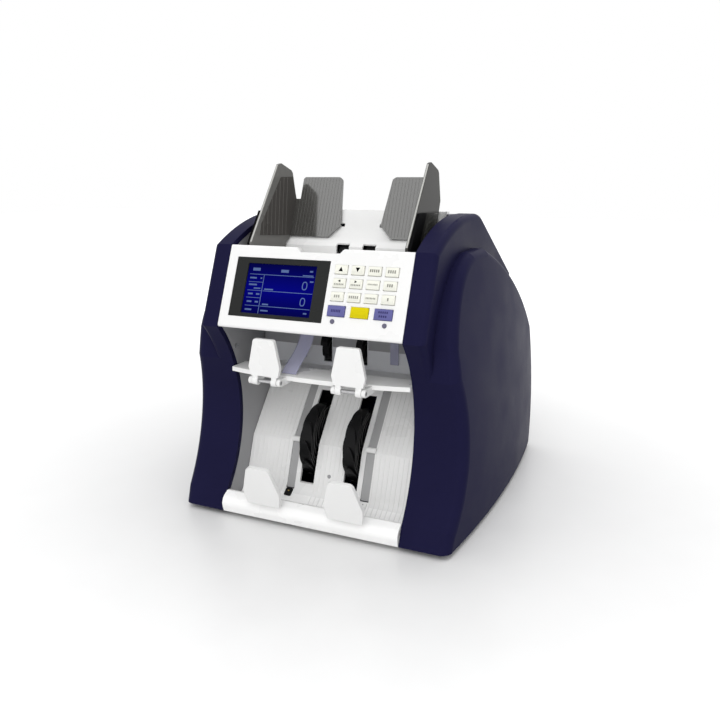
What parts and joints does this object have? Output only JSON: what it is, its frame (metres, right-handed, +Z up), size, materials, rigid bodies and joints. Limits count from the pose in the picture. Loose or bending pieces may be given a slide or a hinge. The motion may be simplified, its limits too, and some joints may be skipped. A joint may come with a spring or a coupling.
{
  "type": "banknote counting machine",
  "caption": "Desktop banknote counter with a top hopper, sliding note guides, tilted display and keypad, a reject pocket and a stacker pocket with finned wheels.",
  "frame": {"origin": "Middle of the footprint on the table, at the bottom of the rubber feet.", "axes": "+Z is up, -Y is the front with the display and pockets, +X is the right side seen from the front."},
  "size_m": [0.356, 0.3966, 0.3969],
  "materials": {
    "navy_plastic": "satin",
    "grey_metal": "satin",
    "white_plastic": "satin",
    "ivory_keys": "matte",
    "lavender_keys": "matte",
    "yellow_key": "matte",
    "lamp_lens": "clear lens",
    "bezel_plastic": "gloss",
    "display_face": "gloss",
    "circuit_board": "satin",
    "smoked_plastic": "gloss",
    "black_plastic": "satin",
    "acetal": "satin",
    "soft_film": "translucent",
    "black_rubber": "matte",
    "steel": "brushed",
    "motor_metal": "satin",
    "navy_metal": "satin"
  },
  "bodies": {
    "machine": {"right_side_cover": "navy_plastic", "left_side_cover": "navy_plastic", "side_frames": "grey_metal", "reject_back_wall": "grey_metal", "control_panel": "white_plastic", "hopper_tray": "white_plastic", "reject_shelf": "white_plastic", "front_lip": "white_plastic", "stacker_chute": "white_plastic", "status_lamps": "lamp_lens", "display_bezel": "bezel_plastic", "lcd_panel": "display_face", "key_board": "circuit_board", "main_board": "circuit_board", "stack_sensors": "black_plastic", "power_inlet": "black_plastic", "reject_film": "soft_film", "drive_belt": "black_rubber", "rubber_feet": "black_rubber", "stopper_pins": "steel", "frame_screws": "steel", "drive_motor": "motor_metal", "base_plate": "navy_metal", "rear_cover": "navy_metal"},
    "key_row1_column1": {"key_row1_column1": "ivory_keys"},
    "key_row1_column2": {"key_row1_column2": "ivory_keys"},
    "key_row1_column3": {"key_row1_column3": "ivory_keys"},
    "key_row1_column4": {"key_row1_column4": "ivory_keys"},
    "key_row2_column1": {"key_row2_column1": "ivory_keys"},
    "key_row2_column2": {"key_row2_column2": "ivory_keys"},
    "key_row2_column3": {"key_row2_column3": "ivory_keys"},
    "key_row2_column4": {"key_row2_column4": "ivory_keys"},
    "key_row3_column1": {"key_row3_column1": "ivory_keys"},
    "key_row3_column2": {"key_row3_column2": "ivory_keys"},
    "key_row3_column3": {"key_row3_column3": "ivory_keys"},
    "key_row3_column4": {"key_row3_column4": "ivory_keys"},
    "left_function_key": {"left_function_key": "lavender_keys"},
    "clear_key": {"clear_key": "yellow_key"},
    "right_function_key": {"right_function_key": "lavender_keys"},
    "left_guide": {"left_side_guide": "smoked_plastic", "left_guide_bracket": "black_plastic", "left_back_plate": "smoked_plastic", "left_guide_rack": "acetal"},
    "left_upper_flap": {"left_upper_stopper": "white_plastic"},
    "left_lower_flap": {"left_lower_stopper": "white_plastic"},
    "right_guide": {"right_side_guide": "smoked_plastic", "right_guide_bracket": "black_plastic", "right_back_plate": "smoked_plastic", "right_guide_rack": "acetal"},
    "right_upper_flap": {"right_upper_stopper": "white_plastic"},
    "right_lower_flap": {"right_lower_stopper": "white_plastic"},
    "pinion": {"guide_pinion": "acetal"},
    "stacker_rotor": {"stacker_wheels": "black_rubber", "stacker_shaft": "steel"},
    "reject_rotor": {"reject_wheels": "black_rubber", "reject_shaft": "steel"},
    "feed_rotor": {"feed_rollers": "black_rubber", "feed_shaft": "steel"},
    "drive_rotor": {"motor_rotor": "steel"},
    "rocker": {"power_rocker": "black_plastic"}
  },
  "joints": [
    {"name": "key_row1_column1_press", "type": "slide", "parent": "machine", "child": "key_row1_column1", "axis": [0, 0.9245, -0.3811], "range_m": [0, 0.0012], "stiffness_N_per_m": 500},
    {"name": "key_row1_column2_press", "type": "slide", "parent": "machine", "child": "key_row1_column2", "axis": [0, 0.9245, -0.3811], "range_m": [0, 0.0012], "stiffness_N_per_m": 500},
    {"name": "key_row1_column3_press", "type": "slide", "parent": "machine", "child": "key_row1_column3", "axis": [0, 0.9245, -0.3811], "range_m": [0, 0.0012], "stiffness_N_per_m": 500},
    {"name": "key_row1_column4_press", "type": "slide", "parent": "machine", "child": "key_row1_column4", "axis": [0, 0.9245, -0.3811], "range_m": [0, 0.0012], "stiffness_N_per_m": 500},
    {"name": "key_row2_column1_press", "type": "slide", "parent": "machine", "child": "key_row2_column1", "axis": [0, 0.9245, -0.3811], "range_m": [0, 0.0012], "stiffness_N_per_m": 500},
    {"name": "key_row2_column2_press", "type": "slide", "parent": "machine", "child": "key_row2_column2", "axis": [0, 0.9245, -0.3811], "range_m": [0, 0.0012], "stiffness_N_per_m": 500},
    {"name": "key_row2_column3_press", "type": "slide", "parent": "machine", "child": "key_row2_column3", "axis": [0, 0.9245, -0.3811], "range_m": [0, 0.0012], "stiffness_N_per_m": 500},
    {"name": "key_row2_column4_press", "type": "slide", "parent": "machine", "child": "key_row2_column4", "axis": [0, 0.9245, -0.3811], "range_m": [0, 0.0012], "stiffness_N_per_m": 500},
    {"name": "key_row3_column1_press", "type": "slide", "parent": "machine", "child": "key_row3_column1", "axis": [0, 0.9245, -0.3811], "range_m": [0, 0.0012], "stiffness_N_per_m": 500},
    {"name": "key_row3_column2_press", "type": "slide", "parent": "machine", "child": "key_row3_column2", "axis": [0, 0.9245, -0.3811], "range_m": [0, 0.0012], "stiffness_N_per_m": 500},
    {"name": "key_row3_column3_press", "type": "slide", "parent": "machine", "child": "key_row3_column3", "axis": [0, 0.9245, -0.3811], "range_m": [0, 0.0012], "stiffness_N_per_m": 500},
    {"name": "key_row3_column4_press", "type": "slide", "parent": "machine", "child": "key_row3_column4", "axis": [0, 0.9245, -0.3811], "range_m": [0, 0.0012], "stiffness_N_per_m": 500},
    {"name": "left_function_key_press", "type": "slide", "parent": "machine", "child": "left_function_key", "axis": [0, 0.9245, -0.3811], "range_m": [0, 0.0012], "stiffness_N_per_m": 500},
    {"name": "clear_key_press", "type": "slide", "parent": "machine", "child": "clear_key", "axis": [0, 0.9245, -0.3811], "range_m": [0, 0.0012], "stiffness_N_per_m": 500},
    {"name": "right_function_key_press", "type": "slide", "parent": "machine", "child": "right_function_key", "axis": [0, 0.9245, -0.3811], "range_m": [0, 0.0012], "stiffness_N_per_m": 500},
    {"name": "left_guide_slide", "type": "slide", "parent": "machine", "child": "left_guide", "axis": [1, 0, 0], "range_m": [0, 0.024]},
    {"name": "right_guide_slide", "type": "slide", "parent": "machine", "child": "right_guide", "axis": [-1, 0, 0], "range_m": [0, 0.024]},
    {"name": "guide_pinion_turn", "type": "hinge", "parent": "machine", "child": "pinion", "pos_m": [0, -0.02024, 0.32323], "axis": [0, -0.9285, 0.3714], "range_deg": [-153, 0]},
    {"name": "left_upper_flap_swing", "type": "hinge", "parent": "machine", "child": "left_upper_flap", "pos_m": [-0.0496, -0.17317, 0.166], "axis": [1, 0, 0], "range_deg": [0, 70]},
    {"name": "left_lower_flap_swing", "type": "hinge", "parent": "machine", "child": "left_lower_flap", "pos_m": [-0.0496, -0.17767, 0.031], "axis": [1, 0, 0], "range_deg": [0, 45]},
    {"name": "right_upper_flap_swing", "type": "hinge", "parent": "machine", "child": "right_upper_flap", "pos_m": [0.0496, -0.17317, 0.166], "axis": [1, 0, 0], "range_deg": [0, 70]},
    {"name": "right_lower_flap_swing", "type": "hinge", "parent": "machine", "child": "right_lower_flap", "pos_m": [0.0496, -0.17767, 0.031], "axis": [1, 0, 0], "range_deg": [0, 45]},
    {"name": "stacker_spin", "type": "hinge", "parent": "machine", "child": "stacker_rotor", "pos_m": [0, -0.08517, 0.0727], "axis": [1, 0, 0], "continuous": true},
    {"name": "reject_spin", "type": "hinge", "parent": "machine", "child": "reject_rotor", "pos_m": [0, -0.06117, 0.193], "axis": [1, 0, 0], "continuous": true},
    {"name": "feed_spin", "type": "hinge", "parent": "machine", "child": "feed_rotor", "pos_m": [0, -0.02617, 0.286], "axis": [1, 0, 0], "continuous": true},
    {"name": "drive_spin", "type": "hinge", "parent": "machine", "child": "drive_rotor", "pos_m": [0, 0.03583, 0.081], "axis": [1, 0, 0], "continuous": true},
    {"name": "power_rocker_tilt", "type": "hinge", "parent": "machine", "child": "rocker", "pos_m": [0.018, 0.19533, 0.046], "axis": [1, 0, 0], "range_deg": [-8, 8]}
  ],
  "couplings": [
    {"joint": "right_guide_slide", "follows": "left_guide_slide", "ratio": 1},
    {"joint": "guide_pinion_turn", "follows": "left_guide_slide", "rad_per_m": -111.11},
    {"joint": "reject_spin", "follows": "stacker_spin", "ratio": 1},
    {"joint": "feed_spin", "follows": "stacker_spin", "ratio": 1},
    {"joint": "drive_spin", "follows": "stacker_spin", "ratio": 1}
  ]
}
